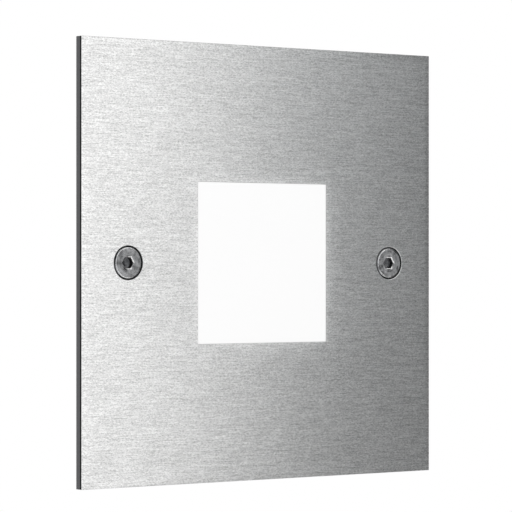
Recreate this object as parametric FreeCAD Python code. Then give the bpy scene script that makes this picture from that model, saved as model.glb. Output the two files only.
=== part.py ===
"""Recessed step light: a square brushed steel plate with a lit opal window, on a sealed housing.

Millimetres. X runs to the right as seen from the front, Y into the wall, Z up. The origin is the point of the
wall's face behind the window's middle. The plate stands in front of the wall and the housing behind its face.
"""
import FreeCAD, Part
import math
import os

# Front plate, of stainless sheet
plate_side = 80.0
plate_thickness = 1.7
plate_corner_radius = 0.5
plate_edge_radius = 0.3
window_side = 29.6
window_corner_radius = 0.3
gasket_thickness = 1.0
gasket_inset = 3.0

# Plate screws, M3 with countersunk head and hexagon socket, held in the plate by washers
screw_inset = 10.0
plate_screw_length = 12.0
plate_screw_thread_radius = 1.5
plate_screw_neck_radius = 1.2
plate_screw_head_radius = 3.0
plate_screw_socket = 2.0
plate_screw_socket_depth = 1.1
plate_screw_tip = 0.4
screw_travel = 4.0
countersink_gap = 0.15
plate_hole_gap = 0.15
screw_washer_radius = 3.0
screw_washer_thickness = 0.8
screw_washer_chamfer = 0.4

# Weld studs on the plate's back, with washers and nuts
stud_x = 9.0
stud_clearance = 4.2
stud_radius = 1.25
stud_end = 1.0
stud_foot_radius = 1.8
stud_foot_thickness = 0.5
stud_washer_radius = 2.5
stud_washer_thickness = 0.5
stud_nut_width = 5.0
stud_nut_height = 2.0

# Opal window and its seal
seal_thickness = 0.8
seal_inset = 0.5
diffuser_overlap = 2.2
diffuser_flange_thickness = 1.5
diffuser_flange_radius = 2.0
diffuser_recess = 0.1
diffuser_edge_radius = 0.2

# Housing, die-cast
flange_thickness = 2.5
flange_lip = 1.0
ear_margin = 3.2
housing_wall = 2.8
body_radius = 7.0
body_draft = 1.0
root_radius = 0.8
chamber_margin = 1.0
light_chamber_radius = 1.5
mixing_depth = 5.7
floor_thickness = 2.5
driver_wall = 2.3
driver_chamber_radius = 4.0
driver_chamber_depth = 12.0
boss_inset = 4.4
boss_radius = 3.2
rib_count = 5
rib_pitch = 5.5
rib_thickness = 1.2
rib_height = 1.0
rib_length = 17.0
rib_slope = 3.0
post_inset = 3.8
post_radius = 2.2
post_height = 2.0
post_hole_depth = 3.6

# Light frame, LED board and thermal pad
frame_wall = 1.2
frame_draft = 7.0
led_board_thickness = 1.6
led_board_radius = 1.0
led_rows = 3
led_margin = 8.0
led_size = 2.8
led_height = 0.7
led_window_radius = 1.1
led_window_depth = 0.12
led_screw_inset = 4.6
pad_thickness = 0.4
pad_inset = 0.7

# Small machine screws, M2.5 with pan head and cross slot
small_screw_radius = 1.25
small_head_radius = 2.25
small_crown_radius = 1.7
small_head_height = 1.5
small_slot_width = 0.55
small_slot_length = 2.6
small_slot_depth = 0.8
led_screw_length = 4.0
driver_screw_length = 5.0
cover_screw_length = 8.0

# Connector from the driver board to the LED board
connector_inset = 4.5
connector_length = 5.0
connector_depth = 2.4
pin_pitch = 2.54
pin_radius = 0.4
pin_tail = 0.9

# Driver board and what it carries
driver_board_thickness = 1.6
coil_x = 9.0
coil_z = 8.0
coil_radius = 4.0
coil_core_radius = 2.4
coil_flange = 0.9
coil_height = 5.2
capacitor_x = -9.0
capacitor_z = 9.0
capacitor_radius = 3.15
capacitor_height = 7.0
capacitor_neck = 0.3
capacitor_base = 1.2
driver_parts = (  # x, z, width, height and thickness of each flat component
    (-6.5, 0.0, 5.0, 4.0, 1.5),
    (0.5, 4.0, 3.0, 1.6, 1.1),
    (9.5, -6.5, 2.6, 4.4, 2.2),
    (-10.5, -6.5, 2.0, 1.2, 0.8),
)

# Terminal block with two clamps
terminal_pitch = 3.5
terminal_poles = 2
terminal_inset = 5.1
terminal_depth = 6.6
terminal_height = 6.0
terminal_slope = 1.6
terminal_wall = 0.4
clamp_width = 2.6
clamp_depth = 3.2
clamp_height = 4.0
clamp_wall = 0.45
clamp_lift = 0.8
wire_hole_width = 1.7
terminal_screw_radius = 0.75
terminal_head_radius = 1.2
terminal_head_height = 1.0
terminal_screw_reach = 0.6
terminal_slot_width = 0.4
terminal_slot_depth = 0.5

# Rear cover and its seal
cover_thickness = 2.5
cover_edge_radius = 0.6
cover_seal_thickness = 0.6
cover_seal_inset = 0.3
cover_rim_height = 1.6
cover_rim_thickness = 1.0
screw_hole_reserve = 0.6

# Cable gland, M12, for a cable of 6.5 mm
cable_radius = 3.25
gland_seal_wall = 1.45
gland_neck_wall = 1.3
gland_wall = 1.5
gland_thread_reach = 7.0
gland_collar = 4.0
gland_neck_length = 8.0
gland_bore_gap = 0.85
gland_mouth_gap = 0.65
gland_seal_length = 7.0
gland_nose_length = 0.8
gland_cone = 1.0
gland_nut_length = 11.5
gland_nut_hex = 7.0
gland_dome_drop = 1.9
gland_washer_margin = 0.5
gland_washer_thickness = 0.8
gland_locknut_height = 2.8

# Corner chamfer of hexagon nuts, in degrees
nut_chamfer_angle = 30.0

# Clearances
thread_gap = 0.05
turning_gap = 0.1
hole_gap = 0.2
fit_gap = 0.2
loose_gap = 0.3
seat_gap = 0.05
opening_gap = 0.6

# Depths, from the wall's face at 0, negative in front of it
plate_back = -gasket_thickness
plate_front = plate_back - plate_thickness
flange_front = plate_back + seal_thickness
flange_back = flange_front + flange_thickness
ledge = flange_front + diffuser_flange_thickness
led_board_front = ledge + mixing_depth
led_board_back = led_board_front + led_board_thickness
floor_front = led_board_back + pad_thickness
floor_back = floor_front + floor_thickness
driver_board_front = floor_back + post_height
driver_board_back = driver_board_front + driver_board_thickness
housing_back = floor_back + driver_chamber_depth
cover_front = housing_back + cover_seal_thickness
cover_back = cover_front + cover_thickness
collar_front = cover_back + gland_washer_thickness
collar_back = collar_front + gland_collar
neck_back = collar_back + gland_neck_length

# Widths that follow from the window outwards
diffuser_flange_side = window_side + 2 * diffuser_overlap
light_chamber_side = window_side + 2 * chamber_margin
led_board_side = light_chamber_side - 2 * loose_gap
led_pitch = (led_board_side - 2 * led_margin) / (led_rows - 1)
body_side = diffuser_flange_side + 2 * (fit_gap + housing_wall)
rear_side = body_side - 2 * (housing_back - flange_front) * math.tan(math.radians(body_draft))
driver_chamber_side = rear_side - 2 * driver_wall
flange_side = body_side + 2 * flange_lip
flange_radius = body_radius + flange_lip
stud_z = body_side / 2 + stud_clearance
ear_width = 2 * (stud_x + ear_margin)
ear_height = 2 * (stud_z + ear_margin)

# Widths that follow from the plate and its screws
screw_spacing = plate_side - 2 * screw_inset
countersink_radius = plate_screw_head_radius + countersink_gap
plate_screw_hole_radius = plate_screw_thread_radius + plate_hole_gap

# Widths that follow from the cable outwards
gland_bore_radius = cable_radius + gland_bore_gap
gland_mouth_radius = cable_radius + gland_mouth_gap
gland_seal_radius = cable_radius + gland_seal_wall
gland_thread_radius = gland_seal_radius + gland_neck_wall
gland_width = 2 * (gland_thread_radius + gland_wall)
gland_washer_radius = gland_width / 2 + gland_washer_margin
gland_dome_radius = gland_width / 2 - gland_dome_drop

# Places that follow from those widths, measured from the light's axis
boss_place = rear_side / 2 - boss_inset
post_place = driver_chamber_side / 2 - post_inset
led_screw_place = light_chamber_side / 2 - led_screw_inset
connector_z = led_board_side / 2 - connector_inset
terminal_z = terminal_inset - driver_chamber_side / 2

# Places, as (x, z) pairs
plate_screw_places = {"left": (-screw_spacing / 2, 0.0), "right": (screw_spacing / 2, 0.0)}
stud_places = [(x, z) for x in (-stud_x, stud_x) for z in (-stud_z, stud_z)]
boss_places = [(x, z) for x in (-boss_place, boss_place) for z in (-boss_place, boss_place)]
led_screw_places = [
    (x, z) for x in (-led_screw_place, led_screw_place) for z in (-led_screw_place, led_screw_place)
]
post_places = [(-post_place, 0.0), (post_place, 0.0)]
pin_places = [(-pin_pitch / 2, connector_z), (pin_pitch / 2, connector_z)]

INWARD = FreeCAD.Vector(0, 1, 0)


def rounded_outline(width, height, radius, y):
    """Rectangle with round corners, centred on the light's axis, in the plane at depth y."""
    corners = []
    for turn, (side_x, side_z) in enumerate(((1, 1), (-1, 1), (-1, -1), (1, -1))):
        centre_x = side_x * (width / 2 - radius)
        centre_z = side_z * (height / 2 - radius)
        angles = [math.radians(90 * turn + part) for part in (0, 45, 90)]
        corners.append([
            FreeCAD.Vector(centre_x + radius * math.cos(angle), y, centre_z + radius * math.sin(angle))
            for angle in angles
        ])
    edges = []
    for corner, following in zip(corners, corners[1:] + corners[:1]):
        edges.append(Part.Arc(*corner).toShape())
        edges.append(Part.LineSegment(corner[2], following[0]).toShape())
    return Part.Wire(edges)


def slab(width, height, radius, y_front, y_back):
    """Straight block with round corners."""
    face = Part.Face(rounded_outline(width, height, radius, y_front))
    return face.extrude(INWARD * (y_back - y_front))


def tapered_slab(front_side, back_side, radius, y_front, y_back):
    """Square block with round corners whose side changes evenly from front to back."""
    outlines = [
        rounded_outline(front_side, front_side, radius, y_front),
        rounded_outline(back_side, back_side, radius, y_back),
    ]
    return Part.makeLoft(outlines, True, True)


def rod(radius, place, y_front, y_back):
    """Round bar along the light's axis, at an (x, z) place."""
    return Part.makeCylinder(radius, y_back - y_front, FreeCAD.Vector(place[0], y_front, place[1]), INWARD)


def rods(radius, places, y_front, y_back):
    """Equal round bars at several places."""
    return Part.makeCompound([rod(radius, place, y_front, y_back) for place in places])


def block(x, z, width, height, y_front, y_back):
    """Box centred on the place (x, z)."""
    corner = FreeCAD.Vector(x - width / 2, y_front, z - height / 2)
    return Part.makeBox(width, y_back - y_front, height, corner)


def turned(profile, place=(0.0, 0.0)):
    """Solid of revolution about a line along Y, from points given as (radius, depth)."""
    points = [FreeCAD.Vector(place[0] + radius, y, place[1]) for radius, y in profile]
    face = Part.Face(Part.makePolygon(points + points[:1]))
    return face.revolve(FreeCAD.Vector(place[0], 0, place[1]), INWARD, 360)


def hexagon(width, place, y_front, y_back):
    """Hexagonal bar, measured across its flats, with two corners up and down."""
    radius = width / math.sqrt(3)
    points = [
        FreeCAD.Vector(place[0] + radius * math.sin(turn), y_front, place[1] + radius * math.cos(turn))
        for turn in [math.radians(60 * corner) for corner in range(6)]
    ]
    return Part.Face(Part.makePolygon(points + points[:1])).extrude(INWARD * (y_back - y_front))


def nut_chamfer(width):
    """Depth along Y of the chamfer that turns a hexagon's corners down to its flats."""
    return (width / math.sqrt(3) - width / 2) * math.tan(math.radians(nut_chamfer_angle))


def hexagon_nut(width, place, y_front, y_back):
    """Hexagonal bar whose corners are turned down at both ends, as on a nut."""
    corner = width / math.sqrt(3)
    chamfer = nut_chamfer(width)
    envelope = turned([
        (0, y_front), (width / 2, y_front), (corner, y_front + chamfer),
        (corner, y_back - chamfer), (width / 2, y_back), (0, y_back),
    ], place)
    return hexagon(width, place, y_front, y_back).common(envelope)


def edges_at(shape, y):
    """The edges that lie wholly in the plane at depth y."""
    return [edge for edge in shape.Edges if all(abs(v.Y - y) < 1e-6 for v in edge.Vertexes)]


# Plate, gasket and studs

def front_plate():
    """Sheet with softened front edges, a window and two countersunk screw holes."""
    plate = slab(plate_side, plate_side, plate_corner_radius, plate_front, plate_back)
    plate = plate.makeFillet(plate_edge_radius, edges_at(plate, plate_front))
    plate = plate.cut(slab(window_side, window_side, window_corner_radius, plate_front, plate_back))
    cone_back = plate_front + countersink_radius - plate_screw_hole_radius
    for place in plate_screw_places.values():
        plate = plate.cut(turned([
            (0, plate_front), (countersink_radius, plate_front),
            (plate_screw_hole_radius, cone_back), (0, cone_back),
        ], place))
        plate = plate.cut(rod(plate_screw_hole_radius, place, plate_front, plate_back))
    return plate


def flange_outline_slab(offset, y_front, y_back):
    """The housing flange's outline: a square with an ear above and below for the studs, grown by offset."""
    square = slab(flange_side + 2 * offset, flange_side + 2 * offset, flange_radius + offset, y_front, y_back)
    ears = slab(ear_width + 2 * offset, ear_height + 2 * offset, ear_margin + offset, y_front, y_back)
    return square.fuse(ears).removeSplitter()


def plate_gasket():
    """Foam frame between plate and wall, open round the housing's flange and the screws' washers."""
    side = plate_side - 2 * gasket_inset
    gasket = slab(side, side, plate_corner_radius, plate_back, 0)
    gasket = gasket.cut(flange_outline_slab(opening_gap, plate_back, 0))
    return gasket.cut(rods(screw_washer_radius + loose_gap, plate_screw_places.values(), plate_back, 0))


def plate_stud(place):
    """Weld stud: a thin foot on the plate's back and a threaded end for the nut."""
    nut_back = flange_back + stud_washer_thickness + stud_nut_height
    foot = rod(stud_foot_radius, place, plate_back, plate_back + stud_foot_thickness)
    return foot.fuse(rod(stud_radius, place, plate_back, nut_back + stud_end)).removeSplitter()


def stud_washer(place):
    """Flat washer on the flange's back."""
    washer_back = flange_back + stud_washer_thickness
    washer = rod(stud_washer_radius, place, flange_back, washer_back)
    return washer.cut(rod(stud_radius + turning_gap, place, flange_back, washer_back))


def stud_nut(place):
    """Hexagon nut on the washer."""
    nut_front = flange_back + stud_washer_thickness
    nut = hexagon_nut(stud_nut_width, place, nut_front, nut_front + stud_nut_height)
    return nut.cut(rod(stud_radius + thread_gap, place, nut_front, nut_front + stud_nut_height))


# Plate screws

def plate_screw(place):
    """Countersunk screw with a thin neck, so that it can back out and still be held by its washer."""
    head_face = plate_front + countersink_radius - plate_screw_head_radius - seat_gap
    cone_back = head_face + plate_screw_head_radius - plate_screw_neck_radius
    thread_front = plate_back + 2 * seat_gap + screw_washer_thickness + screw_travel
    tip = head_face + plate_screw_length
    screw = turned([
        (0, head_face), (plate_screw_head_radius, head_face), (plate_screw_neck_radius, cone_back),
        (plate_screw_neck_radius, thread_front), (plate_screw_thread_radius, thread_front),
        (plate_screw_thread_radius, tip - plate_screw_tip),
        (plate_screw_thread_radius - plate_screw_tip, tip), (0, tip),
    ], place)
    socket_back = head_face + plate_screw_socket_depth
    drill_radius = plate_screw_socket / 2
    drill_point = turned([
        (0, socket_back), (drill_radius, socket_back), (0, socket_back + drill_radius / math.sqrt(3)),
    ], place)
    return screw.cut(hexagon(plate_screw_socket, place, head_face, socket_back).fuse(drill_point))


def screw_washer(place):
    """Plastic washer on the screw's neck, behind the plate, with a chamfer that clears the screw's cone."""
    washer_front = plate_back + seat_gap
    washer_back = washer_front + screw_washer_thickness
    hole_radius = plate_screw_neck_radius + turning_gap
    washer = rod(screw_washer_radius, place, washer_front, washer_back)
    return washer.cut(turned([
        (0, washer_front), (hole_radius + screw_washer_chamfer, washer_front),
        (hole_radius, washer_front + screw_washer_chamfer), (hole_radius, washer_back), (0, washer_back),
    ], place))


# Window

def window_seal():
    """Silicone sheet between the plate, the diffuser's flange and the housing's flange."""
    opening = window_side + 2 * fit_gap
    seal = flange_outline_slab(-seal_inset, plate_back, flange_front)
    seal = seal.cut(slab(opening, opening, window_corner_radius, plate_back, flange_front))
    return seal.cut(rods(stud_foot_radius + loose_gap, stud_places, plate_back, flange_front))


def diffuser():
    """Opal pad that fills the plate's window, on a thin flange in the housing's pocket."""
    pad_side = window_side - 2 * fit_gap
    pad_front = plate_front + diffuser_recess
    pad = slab(pad_side, pad_side, window_corner_radius, pad_front, ledge)
    pad = pad.makeFillet(diffuser_edge_radius, edges_at(pad, pad_front))
    flange = slab(diffuser_flange_side, diffuser_flange_side, diffuser_flange_radius, flange_front, ledge)
    return pad.fuse(flange).removeSplitter()


# Housing

def driver_chamber(inset, y_front, y_back):
    """The space behind the housing's floor: a square with round corners, less a screw boss in each corner."""
    side = driver_chamber_side - 2 * inset
    space = slab(side, side, driver_chamber_radius, y_front, y_back)
    return space.cut(rods(boss_radius + inset, boss_places, y_front, y_back))


def cooling_rib(side, z):
    """Rib on the left (-1) or right (1) wall, from the flange's back, with a sloping end."""
    root = side * (rear_side / 2 - rib_height)
    crest = side * (body_side / 2 + rib_height)
    rib_back = flange_back + rib_length
    bottom = z - rib_thickness / 2
    points = [
        FreeCAD.Vector(root, flange_front, bottom), FreeCAD.Vector(crest, flange_front, bottom),
        FreeCAD.Vector(crest, rib_back - rib_slope, bottom), FreeCAD.Vector(root, rib_back, bottom),
    ]
    return Part.Face(Part.makePolygon(points + points[:1])).extrude(FreeCAD.Vector(0, 0, rib_thickness))


def housing():
    """Casting with a flange to the plate, a light chamber in front and a driver chamber behind its floor."""
    body = tapered_slab(body_side, rear_side, body_radius, flange_front, housing_back)
    casting = flange_outline_slab(0, flange_front, flange_back).fuse(body).removeSplitter()
    root_edges = [
        edge for edge in edges_at(casting, flange_back)
        if all(max(abs(v.X), abs(v.Z)) < body_side / 2 for v in edge.Vertexes)
    ]
    casting = casting.makeFillet(root_radius, root_edges)
    for number in range(rib_count):
        z = (number - (rib_count - 1) / 2) * rib_pitch
        casting = casting.fuse([cooling_rib(-1, z), cooling_rib(1, z)])
    casting = casting.removeSplitter()
    pocket_side = diffuser_flange_side + 2 * fit_gap
    casting = casting.cut([
        slab(pocket_side, pocket_side, diffuser_flange_radius + fit_gap, flange_front, ledge),
        slab(light_chamber_side, light_chamber_side, light_chamber_radius, ledge, floor_front),
        driver_chamber(0, floor_back, housing_back),
    ])
    casting = casting.fuse(rods(post_radius, post_places, floor_back, driver_board_front)).removeSplitter()
    boss_hole_front = cover_back - cover_screw_length - screw_hole_reserve
    holes = [
        rods(stud_radius + hole_gap, stud_places, flange_front, flange_back),
        rods(small_screw_radius + thread_gap, led_screw_places, floor_front, floor_back),
        rods(small_screw_radius + thread_gap, boss_places, boss_hole_front, housing_back),
        rods(small_screw_radius + thread_gap, post_places,
             driver_board_front - post_hole_depth, driver_board_front),
        block(0, connector_z, connector_length + 2 * fit_gap, connector_depth + 2 * fit_gap,
              floor_front, floor_back),
    ]
    return casting.cut(holes)


# Light frame and LED board

def light_frame():
    """White frame with sloping walls between the LED board and the diffuser."""
    spread = 2 * mixing_depth * math.tan(math.radians(frame_draft))
    outer_front = light_chamber_side - 2 * fit_gap
    outer_back = outer_front - spread
    radius = light_chamber_radius - fit_gap
    shell = tapered_slab(outer_front, outer_back, radius, ledge, led_board_front)
    inner_front = outer_front - 2 * frame_wall
    inner_back = outer_back - 2 * frame_wall
    return shell.cut(tapered_slab(inner_front, inner_back, radius / 2, ledge, led_board_front))


def led_board():
    """Aluminium-backed board with screw and pin holes."""
    board = slab(led_board_side, led_board_side, led_board_radius, led_board_front, led_board_back)
    board = board.cut(rods(small_screw_radius + hole_gap, led_screw_places, led_board_front, led_board_back))
    return board.cut(rods(pin_radius + thread_gap, pin_places, led_board_front, led_board_back))


def led(x, z):
    """Light-emitting diode: a low square body with a round window."""
    led_front = led_board_front - led_height
    body = block(x, z, led_size, led_size, led_front, led_board_front)
    return body.cut(rod(led_window_radius, (x, z), led_front, led_front + led_window_depth))


def led_group():
    """Square array of diodes."""
    places = [(number - (led_rows - 1) / 2) * led_pitch for number in range(led_rows)]
    return Part.makeCompound([led(x, z) for x in places for z in places])


def thermal_pad():
    """Soft sheet that carries the board's heat to the housing's floor."""
    side = light_chamber_side - 2 * pad_inset
    pad = slab(side, side, led_board_radius, led_board_back, floor_front)
    pad = pad.cut(rods(small_screw_radius + hole_gap, led_screw_places, led_board_back, floor_front))
    slot_length = connector_length + 2 * fit_gap
    slot_depth = connector_depth + 2 * fit_gap
    return pad.cut(block(0, connector_z, slot_length, slot_depth, led_board_back, floor_front))


def small_screw(place, seat, length, outward):
    """Pan-head screw whose head lies on the plane at depth seat; outward is the head's direction along Y."""
    head_edge = seat + outward * small_head_height / 2
    head_top = seat + outward * small_head_height
    tip = seat - outward * length
    screw = turned([
        (0, head_top), (small_crown_radius, head_top), (small_head_radius, head_edge),
        (small_head_radius, seat), (small_screw_radius, seat), (small_screw_radius, tip), (0, tip),
    ], place)
    slot_floor = head_top - outward * small_slot_depth
    slot_span = sorted((head_top, slot_floor))
    across = block(*place, small_slot_length, small_slot_width, *slot_span)
    upright = block(*place, small_slot_width, small_slot_length, *slot_span)
    return screw.cut(across.fuse(upright))


# Connector, driver board and its components

def board_connector():
    """Plastic block between the two boards, through the housing's floor."""
    body = block(0, connector_z, connector_length, connector_depth, led_board_back, driver_board_front)
    return body.cut(rods(pin_radius + thread_gap, pin_places, led_board_back, driver_board_front))


def connector_pins():
    """Two pins, soldered at both boards."""
    return rods(pin_radius, pin_places, led_board_front - pin_tail, driver_board_back + pin_tail)


def driver_board():
    """Board that fills the chamber's outline, with holes for its screws and the connector's pins."""
    board = driver_chamber(opening_gap, driver_board_front, driver_board_back)
    board = board.cut(rods(small_screw_radius + hole_gap, post_places, driver_board_front, driver_board_back))
    return board.cut(rods(pin_radius + thread_gap, pin_places, driver_board_front, driver_board_back))


def driver_coil():
    """Power coil: a drum with a flange at each end."""
    base = driver_board_back
    top = base + coil_height
    return turned([
        (0, base), (coil_radius, base), (coil_radius, base + coil_flange),
        (coil_core_radius, base + coil_flange), (coil_core_radius, top - coil_flange),
        (coil_radius, top - coil_flange), (coil_radius, top), (0, top),
    ], (coil_x, coil_z))


def driver_capacitor():
    """Can capacitor, drawn in above its base."""
    base = driver_board_back
    neck = base + capacitor_base
    top = base + capacitor_height
    return turned([
        (0, base), (capacitor_radius, base), (capacitor_radius, neck - capacitor_neck),
        (capacitor_radius - capacitor_neck, neck), (capacitor_radius, neck + capacitor_neck),
        (capacitor_radius, top - capacitor_neck), (capacitor_radius - capacitor_neck, top), (0, top),
    ], (capacitor_x, capacitor_z))


def driver_chips():
    """Flat components on the board's back."""
    return Part.makeCompound([
        block(x, z, width, height, driver_board_back, driver_board_back + thickness)
        for x, z, width, height, thickness in driver_parts
    ])


# Terminal block

def pole_places():
    """The x of each terminal pole."""
    return [(number - (terminal_poles - 1) / 2) * terminal_pitch for number in range(terminal_poles)]


clamp_front = driver_board_back + clamp_lift
clamp_back = clamp_front + clamp_height
terminal_back = driver_board_back + terminal_height


def terminal_block():
    """Plastic body with a sloping wire side, and for each pole a chamber, a wire hole and a screw well."""
    top_z = terminal_z + terminal_depth / 2
    bottom_z = terminal_z - terminal_depth / 2
    left = -(terminal_poles * terminal_pitch) / 2 - terminal_wall
    points = [
        FreeCAD.Vector(left, driver_board_back, bottom_z), FreeCAD.Vector(left, driver_board_back, top_z),
        FreeCAD.Vector(left, terminal_back - terminal_slope, top_z),
        FreeCAD.Vector(left, terminal_back, top_z - terminal_slope),
        FreeCAD.Vector(left, terminal_back, bottom_z),
    ]
    body = Part.Face(Part.makePolygon(points + points[:1])).extrude(FreeCAD.Vector(-2 * left, 0, 0))
    for x in pole_places():
        chamber = block(x, terminal_z, clamp_width + 2 * turning_gap, clamp_depth + 2 * turning_gap,
                        clamp_front - turning_gap, clamp_back + turning_gap)
        wire_hole = block(x, top_z, wire_hole_width, terminal_depth,
                          clamp_front + clamp_wall, clamp_back - clamp_wall)
        well = rod(terminal_head_radius + turning_gap, (x, terminal_z), clamp_back, terminal_back)
        body = body.cut([chamber, wire_hole, well])
    return body


def terminal_clamp(x):
    """Brass cage, open from top to bottom, with a hole for its screw."""
    cage = block(x, terminal_z, clamp_width, clamp_depth, clamp_front, clamp_back)
    way = block(x, terminal_z, clamp_width - 2 * clamp_wall, clamp_depth,
                clamp_front + clamp_wall, clamp_back - clamp_wall)
    return cage.cut([way, rod(terminal_screw_radius, (x, terminal_z), clamp_back - clamp_wall, clamp_back)])


def terminal_screw(x):
    """Slotted screw that stands on the cage and reaches into it."""
    head_back = clamp_back + terminal_head_height
    radius = terminal_screw_radius - thread_gap
    tip = clamp_back - clamp_wall - terminal_screw_reach
    screw = turned([
        (0, tip), (radius, tip), (radius, clamp_back), (terminal_head_radius, clamp_back),
        (terminal_head_radius, head_back), (0, head_back),
    ], (x, terminal_z))
    slot = block(x, terminal_z, 2 * terminal_head_radius, terminal_slot_width,
                 head_back - terminal_slot_depth, head_back)
    return screw.cut(slot)


# Rear cover

def rear_cover_seal():
    """Flat seal on the housing's rear edge and bosses."""
    side = rear_side - 2 * cover_seal_inset
    seal = slab(side, side, body_radius - cover_seal_inset, housing_back, cover_front)
    seal = seal.cut(driver_chamber(0, housing_back, cover_front))
    return seal.cut(rods(small_screw_radius + hole_gap, boss_places, housing_back, cover_front))


def rear_cover():
    """Moulded cover with a rim that reaches into the chamber, screw holes and the gland's hole."""
    plate = slab(rear_side, rear_side, body_radius, cover_front, cover_back)
    plate = plate.makeFillet(cover_edge_radius, edges_at(plate, cover_back))
    rim_front = cover_front - cover_rim_height
    rim = driver_chamber(loose_gap, rim_front, cover_front)
    rim = rim.cut(driver_chamber(loose_gap + cover_rim_thickness, rim_front, cover_front))
    cover = plate.fuse(rim).removeSplitter()
    cover = cover.cut(rods(small_screw_radius + hole_gap, boss_places, cover_front, cover_back))
    return cover.cut(rod(gland_thread_radius + turning_gap, (0, 0), cover_front, cover_back))


# Cable gland

def gland_washer():
    """Flat washer under the gland's collar."""
    ring = rod(gland_washer_radius, (0, 0), cover_back, collar_front)
    return ring.cut(rod(gland_thread_radius + turning_gap, (0, 0), cover_back, collar_front))


def gland_body():
    """Hexagonal collar, a thread through the cover, and a neck whose mouth holds the seal."""
    seal_seat = neck_back - gland_seal_length
    collar = hexagon_nut(gland_width, (0, 0), collar_front, collar_back)
    inner_thread = rod(gland_thread_radius, (0, 0), collar_front - gland_thread_reach, collar_front)
    neck = rod(gland_thread_radius, (0, 0), collar_back, neck_back)
    body = collar.fuse([inner_thread, neck]).removeSplitter()
    body = body.cut(rod(gland_bore_radius, (0, 0), collar_front - gland_thread_reach, seal_seat))
    return body.cut(rod(gland_seal_radius + turning_gap, (0, 0), seal_seat, neck_back))


def gland_locknut():
    """Hexagon nut inside the cover."""
    nut = hexagon_nut(gland_width, (0, 0), cover_front - gland_locknut_height, cover_front)
    hole = rod(gland_thread_radius + thread_gap, (0, 0), cover_front - gland_locknut_height, cover_front)
    return nut.cut(hole)


def gland_seal():
    """Rubber sleeve that closes on the cable: a nose in the body's bore and a cone that the nut presses."""
    seal_seat = neck_back - gland_seal_length
    nose_front = seal_seat - gland_nose_length
    nose_radius = gland_bore_radius - turning_gap
    cone_back = neck_back + gland_cone
    return turned([
        (cable_radius, nose_front), (nose_radius, nose_front), (nose_radius, seal_seat),
        (gland_seal_radius, seal_seat), (gland_seal_radius, neck_back),
        (gland_seal_radius - gland_cone, cone_back), (cable_radius, cone_back),
    ])


def gland_nut():
    """Cap nut: a hexagon that runs into a rounded dome, with a cone inside that presses on the seal."""
    nut_front = collar_back + seat_gap
    nut_back = nut_front + gland_nut_length
    hex_back = nut_front + gland_nut_hex
    corner = gland_width / math.sqrt(3)
    shoulder = nut_chamfer(gland_width)
    dome_edge = FreeCAD.Vector(gland_width / 2, hex_back, 0)
    dome_top = FreeCAD.Vector(gland_dome_radius, nut_back, 0)
    bulge = (gland_width / 2 - gland_dome_radius) * (1 - math.sqrt(0.5))
    dome_middle = FreeCAD.Vector(gland_width / 2 - bulge, (hex_back + nut_back) / 2 + bulge, 0)
    profile = Part.Wire([
        Part.makePolygon([
            dome_top, FreeCAD.Vector(0, nut_back, 0), FreeCAD.Vector(0, nut_front, 0),
            FreeCAD.Vector(gland_width / 2, nut_front, 0), FreeCAD.Vector(corner, nut_front + shoulder, 0),
            FreeCAD.Vector(corner, hex_back - shoulder, 0), dome_edge,
        ]),
        Part.Arc(dome_edge, dome_middle, dome_top).toShape(),
    ])
    envelope = Part.Face(profile).revolve(FreeCAD.Vector(0, 0, 0), INWARD, 360)
    hexagonal = hexagon(gland_width, (0, 0), nut_front, hex_back)
    dome = rod(gland_width / 2, (0, 0), hex_back, nut_back)
    cap = hexagonal.fuse(dome).common(envelope).removeSplitter()
    cone_front = neck_back + seat_gap
    cone_back = cone_front + gland_cone
    inside = turned([
        (0, nut_front), (gland_thread_radius + thread_gap, nut_front),
        (gland_thread_radius + thread_gap, cone_front), (gland_seal_radius + seat_gap, cone_front),
        (gland_seal_radius - gland_cone + seat_gap, cone_back), (0, cone_back),
    ])
    mouth = rod(gland_mouth_radius, (0, 0), neck_back, nut_back)
    return cap.cut([inside, mouth])


nodes = {
    "front_plate": front_plate(),
    "plate_gasket": plate_gasket(),
    "plate_studs": Part.makeCompound([plate_stud(place) for place in stud_places]),
    "stud_washers": Part.makeCompound([stud_washer(place) for place in stud_places]),
    "stud_nuts": Part.makeCompound([stud_nut(place) for place in stud_places]),
    "window_seal": window_seal(),
    "diffuser": diffuser(),
    "housing": housing(),
    "light_frame": light_frame(),
    "led_board": led_board(),
    "leds": led_group(),
    "led_board_screws": Part.makeCompound([
        small_screw(place, led_board_front, led_screw_length, -1) for place in led_screw_places
    ]),
    "thermal_pad": thermal_pad(),
    "board_connector": board_connector(),
    "connector_pins": connector_pins(),
    "driver_board": driver_board(),
    "driver_board_screws": Part.makeCompound([
        small_screw(place, driver_board_back, driver_screw_length, 1) for place in post_places
    ]),
    "driver_coil": driver_coil(),
    "driver_capacitor": driver_capacitor(),
    "driver_chips": driver_chips(),
    "terminal_block": terminal_block(),
    "terminal_clamps": Part.makeCompound([terminal_clamp(x) for x in pole_places()]),
    "terminal_screws": Part.makeCompound([terminal_screw(x) for x in pole_places()]),
    "rear_cover_seal": rear_cover_seal(),
    "rear_cover": rear_cover(),
    "rear_cover_screws": Part.makeCompound([
        small_screw(place, cover_back, cover_screw_length, 1) for place in boss_places
    ]),
    "gland_washer": gland_washer(),
    "gland_body": gland_body(),
    "gland_locknut": gland_locknut(),
    "gland_seal": gland_seal(),
    "gland_nut": gland_nut(),
}
for side_name, screw_place in plate_screw_places.items():
    nodes[f"{side_name}_plate_screw"] = plate_screw(screw_place)
    nodes[f"{side_name}_screw_washer"] = screw_washer(screw_place)

os.makedirs("parts", exist_ok=True)
for node_name, shape in nodes.items():
    shape.exportStep(f"parts/{node_name}.step")
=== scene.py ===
"""Looks of the recessed step light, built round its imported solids. Metres; Y runs into the wall, Z up."""

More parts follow.
